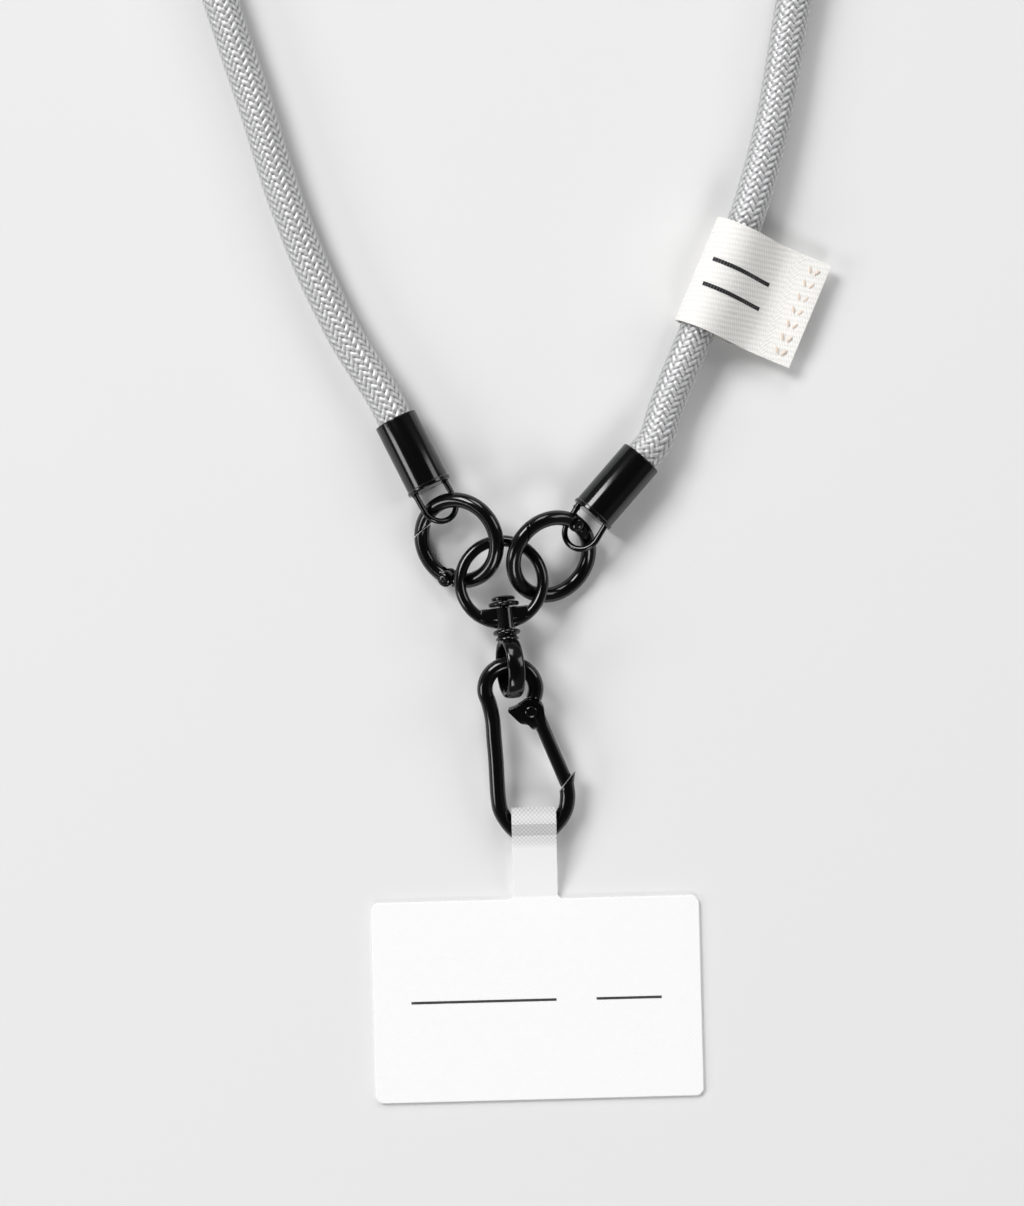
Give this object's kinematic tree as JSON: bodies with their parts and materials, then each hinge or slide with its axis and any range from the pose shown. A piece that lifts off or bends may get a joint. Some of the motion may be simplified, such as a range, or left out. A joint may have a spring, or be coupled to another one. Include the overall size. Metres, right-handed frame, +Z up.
{
  "type": "phone crossbody strap",
  "caption": "Phone crossbody strap lying flat: silver-grey braided rope loop, black metal end caps, gate rings, swivel and carabiner, and a flat fabric card that fits inside a phone case.",
  "frame": {"origin": "centre of the card's underside, on the surface that the strap lies on", "axes": "+Z up, away from that surface; +Y from the card along the carabiner and swivel to the rope; +X towards the strand with the woven label"},
  "size_m": [0.1542, 0.38, 0.0138],
  "materials": {
    "rope": "glossy round polyester braid",
    "black_metal": "gloss black plating",
    "card": "smooth white laminate",
    "label": "off-white woven twill"
  },
  "bodies": {
    "root": {"strap_rope": "rope", "woven_label": "label", "left_end_cap": "black_metal", "right_end_cap": "black_metal", "left_gate_ring": "black_metal", "right_gate_ring": "black_metal", "left_gate_pin": "black_metal", "right_gate_pin": "black_metal", "swivel_ring": "black_metal", "swivel_washer": "black_metal"},
    "left_gate": {"left_ring_gate": "black_metal"},
    "right_gate": {"right_ring_gate": "black_metal"},
    "swivel": {"swivel_post": "black_metal", "carabiner_body": "black_metal", "carabiner_pin": "black_metal", "phone_card": "card"},
    "clip_gate": {"carabiner_gate": "black_metal"}
  },
  "joints": [
    {"name": "left_gate_hinge", "type": "hinge", "parent": "root", "child": "left_gate", "pos_m": [-0.01788, 0.08431, 0.00238], "axis": [0.4216, 0.2454, -0.8729], "range_deg": [0, 14], "stiffness_Nm_per_rad": 0.004, "springref_deg": -11.46},
    {"name": "right_gate_hinge", "type": "hinge", "parent": "root", "child": "right_gate", "pos_m": [0.00717, 0.09525, 0.00696], "axis": [0.4156, -0.3742, 0.829], "range_deg": [0, 14], "stiffness_Nm_per_rad": 0.004, "springref_deg": -11.46},
    {"name": "swivel_turn", "type": "hinge", "parent": "root", "child": "swivel", "pos_m": [-0.0072, 0.08337, 0.00685], "axis": [0.104, -0.9891, 0.1045], "continuous": true},
    {"name": "clip_gate_hinge", "type": "hinge", "parent": "swivel", "child": "clip_gate", "pos_m": [-0.0013, 0.05783, 0.006], "axis": [0, 0.1394, -0.9902], "range_deg": [0, 16], "stiffness_Nm_per_rad": 0.006, "springref_deg": -11.46}
  ]
}
